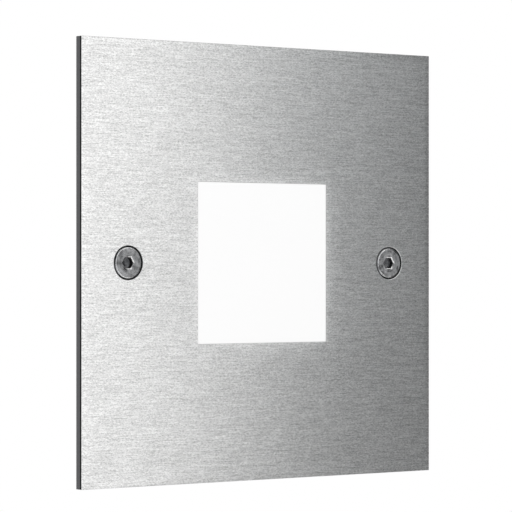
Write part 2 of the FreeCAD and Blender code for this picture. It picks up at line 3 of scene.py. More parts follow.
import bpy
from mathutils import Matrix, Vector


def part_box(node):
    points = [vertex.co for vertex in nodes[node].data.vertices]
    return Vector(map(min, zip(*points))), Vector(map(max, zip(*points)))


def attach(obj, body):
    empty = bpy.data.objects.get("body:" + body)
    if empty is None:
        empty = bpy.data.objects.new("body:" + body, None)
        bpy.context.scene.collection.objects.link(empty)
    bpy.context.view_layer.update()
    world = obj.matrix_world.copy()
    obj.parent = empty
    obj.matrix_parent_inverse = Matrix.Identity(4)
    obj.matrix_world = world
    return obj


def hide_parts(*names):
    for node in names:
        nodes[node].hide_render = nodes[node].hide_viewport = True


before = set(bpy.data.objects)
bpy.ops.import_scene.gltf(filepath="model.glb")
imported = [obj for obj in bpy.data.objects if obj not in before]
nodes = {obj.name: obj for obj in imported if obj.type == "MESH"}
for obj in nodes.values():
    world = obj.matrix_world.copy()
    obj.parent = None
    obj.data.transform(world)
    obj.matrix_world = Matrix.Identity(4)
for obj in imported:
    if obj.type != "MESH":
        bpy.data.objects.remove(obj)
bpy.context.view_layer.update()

import bmesh
import bpy
import math

# ---------------------------------------------------------------------------------------------------------
# Camera: a long lens at the left front of the plate, level with its middle and looking level, so that
# upright edges stay upright. The lens is shifted a little to frame the plate.
mm = 0.001
plate_front = -2.7 * mm
camera_turn = math.radians(36.78)
camera_distance = 512.35 * mm
camera_height = -0.79 * mm
bpy.ops.object.camera_add(
    location=(-camera_distance * math.sin(camera_turn),
              plate_front - camera_distance * math.cos(camera_turn), camera_height),
    rotation=(math.pi / 2, 0, -camera_turn),
)
camera = bpy.context.active_object
camera.name = "camera"
camera.data.sensor_width = 36.0
camera.data.lens = 195.10
camera.data.shift_x = -0.01445
camera.data.shift_y = 0.02195
camera.data.clip_start = 0.01
bpy.context.scene.camera = camera
bpy.context.scene.view_settings.view_transform = "Standard"

# ---------------------------------------------------------------------------------------------------------
# Studio: a pale floor far below the light, white surroundings, a wide soft lamp in front of the plate and a
# smaller one above and behind. Grey cards stand in front and at the sides, where the metal mirrors them.
room_light = 0.8
floor_depth = -0.45
floor_radius = 3.2
floor_white_share = 0.72
card_height = 1.3
card_fade = 0.06
card_colour = (0.94, 0.975, 1.0, 1)


def seen_plainly(tree):
    """A socket that is 1 where the camera, a mirroring surface or a clear one sees the background."""
    path = tree.nodes.new("ShaderNodeLightPath")
    any_ray = path.outputs["Is Camera Ray"]
    for ray in ("Is Glossy Ray", "Is Transmission Ray"):
        either = tree.nodes.new("ShaderNodeMath")
        either.operation = "MAXIMUM"
        tree.links.new(any_ray, either.inputs[0])
        tree.links.new(path.outputs[ray], either.inputs[1])
        any_ray = either.outputs[0]
    return any_ray


world = bpy.data.worlds.new("studio")
bpy.context.scene.world = world
world.use_nodes = True
tree = world.node_tree
tree.nodes.clear()
dim = tree.nodes.new("ShaderNodeBackground")
dim.inputs["Color"].default_value = (1, 1, 1, 1)
dim.inputs["Strength"].default_value = room_light
white = tree.nodes.new("ShaderNodeBackground")
white.inputs["Color"].default_value = (1, 1, 1, 1)
white.inputs["Strength"].default_value = 1.0
choice = tree.nodes.new("ShaderNodeMixShader")
tree.links.new(seen_plainly(tree), choice.inputs[0])
tree.links.new(dim.outputs[0], choice.inputs[1])
tree.links.new(white.outputs[0], choice.inputs[2])
surroundings = tree.nodes.new("ShaderNodeOutputWorld")
tree.links.new(choice.outputs[0], surroundings.inputs["Surface"])

bpy.ops.mesh.primitive_circle_add(
    vertices=96, radius=floor_radius, fill_type="NGON", location=(0, 0, floor_depth))
floor = bpy.context.active_object
floor.name = "floor"
pale = bpy.data.materials.new("pale_floor")
pale.use_nodes = True
tree = pale.node_tree
tree.nodes.clear()
matt = tree.nodes.new("ShaderNodeBsdfDiffuse")
matt.inputs["Color"].default_value = (0.9, 0.9, 0.9, 1)
white = tree.nodes.new("ShaderNodeEmission")
white.inputs["Strength"].default_value = 1.0
share = tree.nodes.new("ShaderNodeMath")
share.operation = "MULTIPLY"
share.inputs[1].default_value = floor_white_share
tree.links.new(seen_plainly(tree), share.inputs[0])
choice = tree.nodes.new("ShaderNodeMixShader")
tree.links.new(share.outputs[0], choice.inputs[0])
tree.links.new(matt.outputs[0], choice.inputs[1])
tree.links.new(white.outputs[0], choice.inputs[2])
surface = tree.nodes.new("ShaderNodeOutputMaterial")
tree.links.new(choice.outputs[0], surface.inputs["Surface"])
floor.data.materials.append(pale)


def soft_lamp(name, width, height, brightness, azimuth, elevation, distance):
    """A rectangular lamp that faces the origin; brightness is what a mirror would show."""
    bpy.ops.object.light_add(type="AREA")
    lamp = bpy.context.active_object
    lamp.name = name
    lamp.data.shape = "RECTANGLE"
    lamp.data.size = width
    lamp.data.size_y = height
    lamp.data.energy = 4 * brightness * width * height
    turn = math.radians(azimuth)
    rise = math.radians(elevation)
    level = distance * math.cos(rise)
    lamp.location = (level * math.sin(turn), -level * math.cos(turn), distance * math.sin(rise))
    lamp.rotation_euler = (math.pi / 2 - rise, 0, turn)
    lamp.visible_camera = False


def grey_card(name, width, azimuth, distance, top, bottom):
    """An upright card that only mirroring surfaces see; top and bottom are its brightness there."""
    bpy.ops.mesh.primitive_plane_add(size=1)
    card = bpy.context.active_object
    card.name = name
    turn = math.radians(azimuth)
    card.dimensions = (width, card_height, 0)
    card.location = (distance * math.sin(turn), -distance * math.cos(turn), 0)
    card.rotation_euler = (math.pi / 2, 0, turn)
    paint = bpy.data.materials.new(name)
    paint.use_nodes = True
    tree = paint.node_tree
    tree.nodes.clear()
    position = tree.nodes.new("ShaderNodeTexCoord")
    axes = tree.nodes.new("ShaderNodeSeparateXYZ")
    fade = tree.nodes.new("ShaderNodeMapRange")
    fade.inputs["From Min"].default_value = -card_fade
    fade.inputs["From Max"].default_value = card_fade
    fade.inputs["To Min"].default_value = bottom
    fade.inputs["To Max"].default_value = top
    light = tree.nodes.new("ShaderNodeEmission")
    light.inputs["Color"].default_value = card_colour
    surface = tree.nodes.new("ShaderNodeOutputMaterial")
    tree.links.new(position.outputs["Object"], axes.inputs[0])
    tree.links.new(axes.outputs["Y"], fade.inputs["Value"])
    tree.links.new(fade.outputs["Result"], light.inputs["Strength"])
    tree.links.new(light.outputs[0], surface.inputs["Surface"])
    card.data.materials.append(paint)
    for ray in ("camera", "diffuse", "shadow", "transmission", "volume_scatter"):
        setattr(card, "visible_" + ray, False)


soft_lamp("front_lamp", width=0.86, height=0.9, brightness=0.33,
          azimuth=11.0, elevation=20.0, distance=0.8)
soft_lamp("rear_lamp", width=0.7, height=0.5, brightness=0.6,
          azimuth=160.0, elevation=55.0, distance=0.9)
grey_card("right_card", width=0.078, azimuth=39.5, distance=0.66, top=0.56, bottom=0.03)
grey_card("right_side_card", width=1.75, azimuth=91.5, distance=0.74, top=0.2, bottom=0.04)
grey_card("left_card", width=2.4, azimuth=-87.5, distance=0.7, top=0.25, bottom=0.25)
grey_card("front_card", width=0.6, azimuth=-2.0, distance=0.75, top=0.72, bottom=0.6)


def pick(piece, kind, wanted):
    """In edit mode, selects only the faces or edges for which wanted(element) is true."""
    bpy.ops.mesh.select_mode(type=kind)
    bpy.ops.mesh.select_all(action="DESELECT")
    shape = bmesh.from_edit_mesh(piece.data)
    for element in (shape.faces if kind == "FACE" else shape.edges):
        if wanted(element):
            element.select = True
    shape.select_flush_mode()
    bmesh.update_edit_mesh(piece.data)


def only(piece):
    """Selects one object and makes it the active one."""
    bpy.ops.object.select_all(action="DESELECT")
    piece.select_set(True)
    bpy.context.view_layer.objects.active = piece


def apply_modifier(piece, kind, **settings):
    """Adds a modifier, sets it and applies it."""
    only(piece)
    modifier = piece.modifiers.new(kind.lower(), kind)
    for name, value in settings.items():
        setattr(modifier, name, value)
    bpy.ops.object.modifier_apply(modifier=modifier.name)


def smooth(piece, angle=32.0):
    """Smooth shading up to an angle in degrees, with normals that follow the larger faces."""
    only(piece)
    bpy.ops.object.shade_smooth_by_angle(angle=math.radians(angle))
    apply_modifier(piece, "WEIGHTED_NORMAL", keep_sharp=True)


def rounded_copy(name, node, radius, dissolve=True):
    """A copy of a CAD node whose sharp edges are rounded."""
    piece = bpy.data.objects.new(name, nodes[node].data.copy())
    piece.data.name = name
    bpy.context.scene.collection.objects.link(piece)
    only(piece)
    bpy.ops.object.mode_set(mode="EDIT")
    bpy.ops.mesh.select_all(action="SELECT")
    bpy.ops.mesh.remove_doubles(threshold=1e-6)
    if dissolve:
        bpy.ops.mesh.dissolve_limited(angle_limit=math.radians(0.5))
    bpy.ops.object.mode_set(mode="OBJECT")
    apply_modifier(piece, "BEVEL", width=radius, segments=2, limit_method="ANGLE",
                   angle_limit=math.radians(35), miter_outer="MITER_SHARP", use_clamp_overlap=True)
    piece.data.materials.clear()
    smooth(piece)
    return piece


def shader_group(name, *inputs):
    """A new group with number inputs; also gives those inputs and the object's own coordinates."""
    group = bpy.data.node_groups.new(name, "ShaderNodeTree")
    for socket in inputs:
        group.interface.new_socket(socket, in_out="INPUT", socket_type="NodeSocketFloat")
    given = group.nodes.new("NodeGroupInput").outputs
    position = group.nodes.new("ShaderNodeTexCoord").outputs["Object"]
    return group, given, position


def step(group, operation, *inputs, kind="ShaderNodeMath"):
    """The result of one math node in a group; inputs are numbers or sockets."""
    node = group.nodes.new(kind)
    node.operation = operation
    for index, value in enumerate(inputs):
        if isinstance(value, bpy.types.NodeSocket):
            group.links.new(value, node.inputs[index])
        else:
            node.inputs[index].default_value = value
    is_number = kind == "ShaderNodeMath" or operation == "LENGTH"
    return node.outputs["Value" if is_number else "Vector"]


def noise(group, vector, detail):
    """The level, from 0 to 1, of a noise texture read at a vector."""
    texture = group.nodes.new("ShaderNodeTexNoise")
    texture.inputs["Roughness"].default_value = 0.6
    texture.inputs["Scale"].default_value = 1.0
    group.links.new(vector, texture.inputs["Vector"])
    group.links.new(detail, texture.inputs["Detail"])
    return texture.outputs["Fac"]


def give_outputs(group, height, contrast):
    """Gives a group its two outputs: a shade that varies about 1, and the height that it follows."""
    for socket in ("Shade", "Height"):
        group.interface.new_socket(socket, in_out="OUTPUT", socket_type="NodeSocketFloat")
    shade = step(group, "MULTIPLY_ADD", step(group, "SUBTRACT", height, 0.5), contrast, 1.0)
    result = group.nodes.new("NodeGroupOutput")
    group.links.new(shade, result.inputs["Shade"])
    group.links.new(height, result.inputs["Height"])


mottle, given, position = shader_group("mottle", "Scale", "Contrast", "Detail")
spots = noise(mottle, position, given["Detail"])
mottle.links.new(given["Scale"], spots.node.inputs["Scale"])
give_outputs(mottle, spots, given["Contrast"])


def finish_of(name, colour, roughness, texture, group=mottle, metallic=0.0, spread=0.1, relief=0.0,
              **shader):
    """A material whose colour, roughness and relief follow a noise group with the given settings."""
    material = bpy.data.materials.new(name)
    material.use_nodes = True
    tree = material.node_tree
    surface = tree.nodes["Principled BSDF"]
    surface.inputs["Metallic"].default_value = metallic
    pattern = tree.nodes.new("ShaderNodeGroup")
    pattern.node_tree = group
    for socket, value in texture.items():
        pattern.inputs[socket].default_value = value
    tint = tree.nodes.new("ShaderNodeMix")
    tint.data_type = "RGBA"
    tint.blend_type = "MULTIPLY"
    tint.inputs["Factor"].default_value = 1.0
    tint.inputs["A"].default_value = (*colour, 1)
    tree.links.new(pattern.outputs["Shade"], tint.inputs["B"])
    tree.links.new(tint.outputs["Result"], surface.inputs["Base Color"])
    rough = tree.nodes.new("ShaderNodeMapRange")
    rough.inputs["From Min"].default_value = 0.25
    rough.inputs["From Max"].default_value = 0.75
    rough.inputs["To Min"].default_value = roughness - spread / 2
    rough.inputs["To Max"].default_value = roughness + spread / 2
    tree.links.new(pattern.outputs["Height"], rough.inputs["Value"])
    tree.links.new(rough.outputs["Result"], surface.inputs["Roughness"])
    if relief:
        bump = tree.nodes.new("ShaderNodeBump")
        bump.inputs["Strength"].default_value = 1.0
        bump.inputs["Distance"].default_value = relief
        tree.links.new(pattern.outputs["Height"], bump.inputs["Height"])
        tree.links.new(bump.outputs["Normal"], surface.inputs["Normal"])
    for socket, value in shader.items():
        surface.inputs[socket.replace("_", " ")].default_value = value
    return material


def place_piece(piece, material, slot, *replaced, body="root"):
    """Gives the piece its material and body, and hides the CAD nodes that it stands for; slot is not used.
    """
    piece.data.materials.append(material)
    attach(piece, body)
    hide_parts(*replaced)


def dress(node, material):
    """Gives a CAD node that stays its material."""
    for slot in nodes[node].material_slots:
        slot.material = material


cast_aluminium = finish_of(
    "cast_aluminium", (0.60, 0.61, 0.62), 0.5, metallic=0.75, spread=0.2, relief=0.09 * mm,
    texture={"Scale": 2200.0, "Contrast": 0.7, "Detail": 4.0},
)
casting = rounded_copy("casting", "housing", 0.2 * mm)
place_piece(casting, cast_aluminium, "casting", "housing")

# ---------------------------------------------------------------------------------------------------------
# Thermal pad: a soft grey sheet of filled silicone with holes for the board's screws and its connector. It
# lies between the LED board and the housing's floor, and carries the board's heat to it.
heat_pad = rounded_copy("heat_pad", "thermal_pad", 0.08 * mm)
pad_silicone = finish_of(
    "pad_silicone", (0.45, 0.46, 0.48), 0.8, spread=0.1, relief=0.03 * mm,
    texture={"Scale": 1500.0, "Contrast": 0.2, "Detail": 4.0},
)
place_piece(heat_pad, pad_silicone, "grey_pad", "thermal_pad")

# ---------------------------------------------------------------------------------------------------------
# LED board: an aluminium-backed board with white solder mask, its nine diodes with yellow phosphor windows,
# and the two-pin connector that comes up from the driver board behind it.
white_mask = finish_of(
    "white_mask", (0.88, 0.88, 0.86), 0.35, spread=0.08,
    texture={"Scale": 300.0, "Contrast": 0.08, "Detail": 3.0},
)
dress("led_board", white_mask)
phosphor = finish_of(
    "phosphor", (0.95, 0.84, 0.42), 0.45, spread=0.1, Emission_Strength=1.0,
    Emission_Color=(1.0, 0.95, 0.82, 1),
    texture={"Scale": 3000.0, "Contrast": 0.25, "Detail": 2.0},
)
dress("leds", phosphor)
connector_plastic = finish_of(
    "connector_plastic", (0.90, 0.88, 0.82), 0.5, spread=0.1,
    texture={"Scale": 700.0, "Contrast": 0.08, "Detail": 2.0},
)
dress("board_connector", connector_plastic)
pin_brass = finish_of(
    "pin_brass", (0.80, 0.66, 0.36), 0.25, metallic=1.0, spread=0.12,
    texture={"Scale": 2500.0, "Contrast": 0.2, "Detail": 2.0},
)
dress("connector_pins", pin_brass)

# ---------------------------------------------------------------------------------------------------------
# Small machine screws: M2.5 pan heads with a cross slot, in plain stainless. They hold the LED board, the
# driver board and the rear cover.
plain_stainless = finish_of(
    "plain_stainless", (0.58, 0.58, 0.57), 0.32, metallic=1.0, spread=0.14, relief=0.005 * mm,
    texture={"Scale": 3500.0, "Contrast": 0.16, "Detail": 3.0},
)
for node in ("led_board_screws", "driver_board_screws", "rear_cover_screws"):
    screws = rounded_copy(node + "_rounded", node, 0.12 * mm)
    place_piece(screws, plain_stainless, "fasteners", node)

# ---------------------------------------------------------------------------------------------------------
# Light frame: a white moulding with sloping walls that spreads the diodes' light behind the window. It is
# held between the LED board and the diffuser.
frame_plastic = finish_of(
    "frame_plastic", (0.91, 0.91, 0.90), 0.45, spread=0.1,
    texture={"Scale": 500.0, "Contrast": 0.06, "Detail": 3.0},
)
dress("light_frame", frame_plastic)

# ---------------------------------------------------------------------------------------------------------
# Diffuser: opal acrylic, lit evenly from behind. Its pad fills the plate's window and its flange lies in
# the housing's pocket. A flat silicone seal behind the plate keeps the water out.
opal = finish_of(
    "opal_acrylic", (0.60, 0.60, 0.60), 0.3, spread=0.06, Emission_Strength=0.43,
    Emission_Color=(1.0, 1.0, 1.0, 1),
    texture={"Scale": 60.0, "Contrast": 0.03, "Detail": 2.0},
)
pad_side = 29.5 * mm
pad_edge_round = 0.08 * mm
flange_corner = 2.0 * mm
pad_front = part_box("diffuser")[0][1]
diffuser_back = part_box("diffuser")[1][1]
flange_side = 2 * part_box("diffuser")[1][0]
flange_thickness = 1.5 * mm
bpy.ops.object.select_all(action="DESELECT")
bpy.ops.mesh.primitive_cube_add(size=1, location=(0, (pad_front + diffuser_back) / 2, 0))
window = bpy.context.active_object
window.name = "opal_window"
window.scale = (pad_side, diffuser_back - pad_front, pad_side)
bpy.ops.object.transform_apply(location=True, rotation=True, scale=True)
apply_modifier(window, "BEVEL", width=pad_edge_round, segments=2, limit_method="ANGLE")
bpy.ops.object.select_all(action="DESELECT")
bpy.ops.mesh.primitive_cube_add(size=1, location=(0, diffuser_back - flange_thickness / 2, 0))
flange = bpy.context.active_object
flange.scale = (flange_side, flange_thickness, flange_side)
bpy.ops.object.transform_apply(location=True, rotation=True, scale=True)
bpy.ops.object.mode_set(mode="EDIT")
pick(flange, "EDGE", lambda edge: abs(edge.verts[0].co.y - edge.verts[1].co.y) > flange_thickness / 2)
bpy.ops.mesh.bevel(offset=flange_corner, segments=6, affect="EDGES")
bpy.ops.object.mode_set(mode="OBJECT")
apply_modifier(window, "BOOLEAN", object=flange, operation="UNION", solver="EXACT")
bpy.data.objects.remove(flange)
smooth(window)
place_piece(window, opal, "lit_opal", "diffuser")
seal_silicone = finish_of(
    "seal_silicone", (0.72, 0.72, 0.70), 0.6, spread=0.1, relief=0.01 * mm,
    texture={"Scale": 900.0, "Contrast": 0.1, "Detail": 3.0},
)
seal = rounded_copy("window_seal_sheet", "window_seal", 0.12 * mm)
place_piece(seal, seal_silicone, "silicone", "window_seal")

# ---------------------------------------------------------------------------------------------------------
# Front plate: 1.7 mm stainless sheet, brushed level. Punching rolled its outer edge over a little and left
# its sides burnished at the front and torn behind; the burnished band is painted near-black, a painted
# shade.
# A painted glow, emitted by the plate's own material, brightens the metal round the lit window.
plate_side = 80.0 * mm
plate_back = -1.0 * mm
window_side = 29.6 * mm
edge_slope_width = 1.4 * mm
edge_slope_depth = 0.05 * mm
edge_round = 0.07 * mm
burnished_depth = 0.45 * mm
window_frame = 3.0 * mm
countersink_radius = 3.15 * mm
hole_radius = 1.65 * mm
hole_edge_round = 0.06 * mm
cutter_spare = 0.5 * mm
screw_place = 30.0 * mm
pilot_length = 1.0 * mm
side_band = 1.0 * mm
tolerance = 0.001 * mm
long_line_share = 0.38
painted_glow_reach = 1.4 * mm
painted_glow_strength = 0.12

bpy.ops.object.select_all(action="DESELECT")
bpy.ops.mesh.primitive_cube_add(size=1, location=(0, (plate_front + plate_back) / 2, 0))
plate = bpy.context.active_object
plate.name = "brushed_front_plate"
plate.scale = (plate_side, plate_back - plate_front, plate_side)
bpy.ops.object.transform_apply(location=True, rotation=True, scale=True)
bpy.ops.object.mode_set(mode="EDIT")
half = plate_side / 2
pick(plate, "FACE", lambda face: face.normal.y < -0.9)
bpy.ops.mesh.inset(thickness=edge_slope_width)
pick(plate, "EDGE", lambda edge: all(
    v.co.y < plate_front + tolerance and max(abs(v.co.x), abs(v.co.z)) > half - tolerance
    for v in edge.verts))
bpy.ops.transform.translate(value=(0, edge_slope_depth, 0))
pick(plate, "EDGE", lambda edge: all(face.normal.y < 0.9 for face in edge.link_faces)
     and any(abs(face.normal.y) < 0.1 for face in edge.link_faces)
     and any(face.normal.y < -0.9 for face in edge.link_faces))
bpy.ops.mesh.bevel(offset=edge_round, segments=3, affect="EDGES", clamp_overlap=False)
framed_half = window_side / 2 + window_frame
for cut_point, normal in (((framed_half, 0, 0), (1, 0, 0)), ((-framed_half, 0, 0), (1, 0, 0)),
                          ((0, 0, framed_half), (0, 0, 1)), ((0, 0, -framed_half), (0, 0, 1))):
    bpy.ops.mesh.select_all(action="SELECT")
    bpy.ops.mesh.bisect(plane_co=cut_point, plane_no=normal)
bpy.ops.mesh.select_all(action="SELECT")
bpy.ops.mesh.bisect(plane_co=(0, plate_front + burnished_depth, 0), plane_no=(0, 1, 0))


def in_window(face, side):
    """True for the middle face on the front (-1) or the back (1)."""
    middle = face.calc_center_median()
    return side * face.normal.y > 0.9 and max(abs(middle.x), abs(middle.z)) < 0.1 * mm


for side in (-1, 1):
    pick(plate, "FACE", lambda face: in_window(face, side))
    bpy.ops.mesh.inset(thickness=window_frame)
pick(plate, "FACE", lambda face: in_window(face, -1) or in_window(face, 1))
bpy.ops.mesh.bridge_edge_loops()
bpy.ops.object.mode_set(mode="OBJECT")

for side in (-1, 1):
    cone_start = plate_front - cutter_spare
    cone_end = plate_front + countersink_radius - hole_radius
    bpy.ops.object.select_all(action="DESELECT")
    bpy.ops.mesh.primitive_cone_add(
        vertices=64, radius1=countersink_radius + cutter_spare, radius2=hole_radius,
        depth=cone_end - cone_start, location=(side * screw_place, (cone_start + cone_end) / 2, 0),
        rotation=(-math.pi / 2, 0, 0),
    )
    cutter = bpy.context.active_object
    bpy.ops.object.transform_apply(location=True, rotation=True, scale=True)
    bpy.ops.object.mode_set(mode="EDIT")
    pick(cutter, "FACE", lambda face: face.normal.y > 0.9)
    bpy.ops.mesh.extrude_region_move(TRANSFORM_OT_translate={"value": (0, pilot_length, 0)})
    bpy.ops.object.mode_set(mode="OBJECT")
    apply_modifier(plate, "BOOLEAN", object=cutter, operation="DIFFERENCE", solver="EXACT")
    bpy.data.objects.remove(cutter)

apply_modifier(plate, "BEVEL", width=hole_edge_round, segments=2, limit_method="ANGLE",
               angle_limit=math.radians(35), use_clamp_overlap=True)
only(plate)
bpy.ops.object.mode_set(mode="EDIT")
bpy.ops.mesh.select_all(action="SELECT")
bpy.ops.uv.cube_project(cube_size=plate_side)
bpy.ops.object.mode_set(mode="OBJECT")
smooth(plate, 40.0)


def two_noises(group, first, second, first_share, detail):
    """The weighted mean of two noise textures, read at two vectors."""
    second_part = step(group, "MULTIPLY", noise(group, second, detail), 1 - first_share)
    return step(group, "MULTIPLY_ADD", noise(group, first, detail), first_share, second_part)


brush_lines, given, position = shader_group(
    "brush_lines", "Scale X", "Scale Y", "Scale Z", "Contrast", "Detail")
scales = brush_lines.nodes.new("ShaderNodeCombineXYZ")
for axis in "XYZ":
    brush_lines.links.new(given["Scale " + axis], scales.inputs[axis])
short_lines = step(brush_lines, "MULTIPLY", position, scales.outputs[0], kind="ShaderNodeVectorMath")
long_lines = step(brush_lines, "MULTIPLY", short_lines, (0.10, 1.0, 1.3), kind="ShaderNodeVectorMath")
height = two_noises(brush_lines, long_lines, short_lines, long_line_share, given["Detail"])
give_outputs(brush_lines, height, given["Contrast"])
brushed = finish_of(
    "brushed_stainless", (0.74, 0.74, 0.735), 0.30, metallic=1.0, spread=0.06, relief=0.008 * mm,
    group=brush_lines, Anisotropic=0.92, Anisotropic_Rotation=0.25, Emission_Strength=1.0,
    texture={"Scale X": 3100.0, "Scale Y": 900.0, "Scale Z": 7500.0, "Contrast": 2.6, "Detail": 2.0},
)
run = brushed.node_tree.nodes.new("ShaderNodeTangent")
run.direction_type = "UV_MAP"
brushed.node_tree.links.new(run.outputs[0], brushed.node_tree.nodes["Principled BSDF"].inputs["Tangent"])

# Painted glow: the plate's material emits light round the window, strongest at its edge and fading
# outwards.
painted_window_glow, given, position = shader_group("painted_window_glow", "Half Side", "Reach", "Strength")
painted_window_glow.interface.new_socket("Glow", in_out="OUTPUT", socket_type="NodeSocketColor")
axes = painted_window_glow.nodes.new("ShaderNodeSeparateXYZ")
painted_window_glow.links.new(position, axes.inputs[0])
across = step(painted_window_glow, "ABSOLUTE", axes.outputs["X"])
upright = step(painted_window_glow, "ABSOLUTE", axes.outputs["Z"])
larger = step(painted_window_glow, "MAXIMUM", across, upright)
smaller = step(painted_window_glow, "MINIMUM", across, upright)
past_edge = step(painted_window_glow, "MAXIMUM", step(painted_window_glow, "SUBTRACT", larger, given["Half Side"]), 0.0)
reaches = step(painted_window_glow, "MULTIPLY", step(painted_window_glow, "DIVIDE", past_edge, given["Reach"]), -1.0)
fall = step(painted_window_glow, "POWER", math.e, reaches)
along = step(painted_window_glow, "DIVIDE", smaller, given["Half Side"])
corner_loss = step(painted_window_glow, "MULTIPLY", step(painted_window_glow, "MULTIPLY", along, along), 0.5)
weaker_at_corners = step(painted_window_glow, "SUBTRACT", 1.0, corner_loss)
level = step(painted_window_glow, "MULTIPLY", fall, weaker_at_corners)
result = painted_window_glow.nodes.new("NodeGroupOutput")
painted_window_glow.links.new(step(painted_window_glow, "MULTIPLY", level, given["Strength"]), result.inputs["Glow"])
# The painted glow drives the brushed steel's emission colour.
lit = brushed.node_tree.nodes.new("ShaderNodeGroup")
lit.node_tree = painted_window_glow
lit.inputs["Half Side"].default_value = window_side / 2
lit.inputs["Reach"].default_value = painted_glow_reach
lit.inputs["Strength"].default_value = painted_glow_strength
brushed.node_tree.links.new(
    lit.outputs["Glow"], brushed.node_tree.nodes["Principled BSDF"].inputs["Emission Color"])
punch_lines = {"Scale X": 2500.0, "Scale Y": 300.0, "Scale Z": 2500.0, "Contrast": 0.5, "Detail": 3.0}
cut_edge = finish_of(
    "cut_edge", (0.22, 0.22, 0.225), 0.5, metallic=1.0, spread=0.15, relief=0.01 * mm,
    group=brush_lines, texture=punch_lines,
)
# Painted shade: the burnished front band of the plate's sides gets a near-black copy of the steel.
burnished_edge_painted_shade = finish_of(
    "burnished_edge_painted_shade", (0.015, 0.015, 0.016), 0.3, metallic=1.0, spread=0.1, relief=0.003 * mm,
    group=brush_lines, texture=punch_lines,
)
# Painted shade: the countersink walls get a near-black copy of the steel for the shadowed gap round the
# screw heads.
sink_wall_painted_shade = finish_of(
    "sink_wall_painted_shade", (0.03, 0.03, 0.031), 0.4, metallic=1.0, spread=0.1, relief=0.003 * mm,
    texture={"Scale": 2500.0, "Contrast": 0.5, "Detail": 2.0},
)
mill_finish = finish_of(
    "mill_finish", (0.60, 0.60, 0.60), 0.4, metallic=1.0, spread=0.1, relief=0.003 * mm,
    texture={"Scale": 800.0, "Contrast": 0.1, "Detail": 4.0},
)
place_piece(plate, brushed, "brushed_plate", "front_plate")
for material in (cut_edge, burnished_edge_painted_shade, sink_wall_painted_shade, mill_finish):
    plate.data.materials.append(material)
for face in plate.data.polygons:
    middle = face.center
    from_screw = math.hypot(abs(middle.x) - screw_place, middle.z)
    if face.normal.y < -0.75:
        face.material_index = 0
    # The burnished front band of the sides gets the near-black painted shade.
    elif face.normal.y < 0.9 and max(abs(middle.x), abs(middle.z)) > half - side_band:
        face.material_index = 2 if middle.y < plate_front + burnished_depth else 1
    # The countersink walls get the near-black painted shade.
    elif face.normal.y < 0.9 and from_screw < countersink_radius:
        face.material_index = 3
    else:
        face.material_index = 4

# ---------------------------------------------------------------------------------------------------------
# Plate gasket: closed-cell foam rubber, cut from sheet as a frame round the housing's flange. It lies
# between the plate and the wall, and keeps rain from running in behind the plate.
foam = finish_of(
    "foam_rubber", (0.06, 0.06, 0.06), 0.85, spread=0.1, relief=0.12 * mm,
    texture={"Scale": 2200.0, "Contrast": 0.6, "Detail": 3.0},
)
gasket = rounded_copy("foam_gasket", "plate_gasket", 0.2 * mm, dissolve=False)
place_piece(gasket, foam, "foam", "plate_gasket")

# ---------------------------------------------------------------------------------------------------------
# Weld studs: M2.5 stainless, welded to the plate's back by their broad feet. They go through the ears of
# the housing's flange, and a washer and a nut on each one hold it there.


def thread_ridge(name, root_radius, crest_radius, pitch, start, end, place):
    """A closed helical ridge about a line along Y at an (x, z) place."""
    turns = max(1, round((end - start) / pitch) - 1)
    root_width = 0.85 * pitch
    crest_share = 0.2
    middle = (crest_radius + root_radius) / 2
    bpy.ops.object.select_all(action="DESELECT")
    bpy.ops.mesh.primitive_plane_add(size=1, location=(0, 0, 0))
    ridge = bpy.context.active_object
    ridge.name = name
    bpy.ops.object.mode_set(mode="EDIT")
    bpy.ops.mesh.delete(type="ONLY_FACE")
    bpy.ops.mesh.select_all(action="SELECT")
    bpy.ops.transform.resize(value=(crest_radius - root_radius, root_width, 1))
    bpy.ops.transform.translate(value=(middle, pitch / 2, 0))
    pick(ridge, "EDGE", lambda edge: all(v.co.x > middle for v in edge.verts))
    bpy.ops.transform.resize(value=(1, crest_share, 1))
    bpy.ops.object.mode_set(mode="OBJECT")
    apply_modifier(ridge, "SCREW", axis="Y", angle=2 * math.pi, screw_offset=pitch, iterations=turns,
                   steps=28, render_steps=28)
    bpy.ops.object.mode_set(mode="EDIT")
    bpy.ops.mesh.select_all(action="SELECT")
    bpy.ops.mesh.fill_holes(sides=4)
    bpy.ops.mesh.select_all(action="SELECT")
    bpy.ops.mesh.normals_make_consistent(inside=False)
    bpy.ops.object.mode_set(mode="OBJECT")
    ridge.location = (place[0], start, place[1])
    bpy.ops.object.transform_apply(location=True, rotation=True, scale=True)
    return ridge


def turned_bar(name, outline, place, vertices):
    """A closed round bar from (radius, depth) pairs, made by extruding and scaling a disc step by step."""
    bpy.ops.object.select_all(action="DESELECT")
    bpy.ops.mesh.primitive_circle_add(
        vertices=vertices, radius=outline[0][0], fill_type="NGON",
        location=(place[0], outline[0][1], place[1]), rotation=(math.pi / 2, 0, 0),
    )
    bar = bpy.context.active_object
    bar.name = name
    bpy.ops.object.transform_apply(location=True, rotation=True, scale=True)
    bpy.ops.object.mode_set(mode="EDIT")
    bpy.ops.mesh.select_all(action="SELECT")
    for (radius, depth), (next_radius, next_depth) in zip(outline, outline[1:]):
        bpy.ops.mesh.extrude_region_move(TRANSFORM_OT_translate={"value": (0, next_depth - depth, 0)})
        share = next_radius / radius
        bpy.ops.transform.resize(value=(share, 1, share), center_override=(place[0], next_depth, place[1]))
    bpy.ops.mesh.select_all(action="SELECT")
    bpy.ops.mesh.normals_make_consistent(inside=False)
    bpy.ops.object.mode_set(mode="OBJECT")
    return bar


def joined(name, parts):
    """One object from several."""
    bpy.ops.object.select_all(action="DESELECT")
    for part in parts:
        part.select_set(True)
    bpy.context.view_layer.objects.active = parts[0]
    bpy.ops.object.join()
    parts[0].name = name
    parts[0].data.name = name
    return parts[0]


